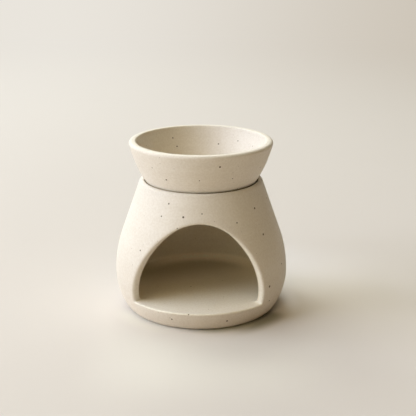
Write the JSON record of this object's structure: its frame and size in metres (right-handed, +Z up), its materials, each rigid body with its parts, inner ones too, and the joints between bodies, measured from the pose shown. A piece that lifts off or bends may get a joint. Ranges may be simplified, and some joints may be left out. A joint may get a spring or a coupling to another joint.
{
  "type": "wax melt burner",
  "caption": "Pot-bellied stoneware wax melt burner: an arched chamber takes a tealight, and a loose flared dish for the wax rests in the neck and lifts off.",
  "frame": {"origin": "on the table under the middle of the foot, on the axis that the body and the dish are turned about", "axes": "+Z up along that axis, the arched mouth faces -Y, +X to the right as seen from the front"},
  "size_m": [0.1, 0.0986, 0.0983],
  "materials": {
    "body_stoneware": "matte cream stoneware with fine iron specks",
    "dish_stoneware": "matte cream stoneware with fine iron specks"
  },
  "bodies": {
    "body": {"burner_body": "body_stoneware"},
    "dish": {"wax_dish": "dish_stoneware"}
  },
  "joints": [
    {"name": "dish_lift", "type": "slide", "parent": "body", "child": "dish", "axis": [0, 0, 1], "range_m": [0, 0.05]}
  ]
}
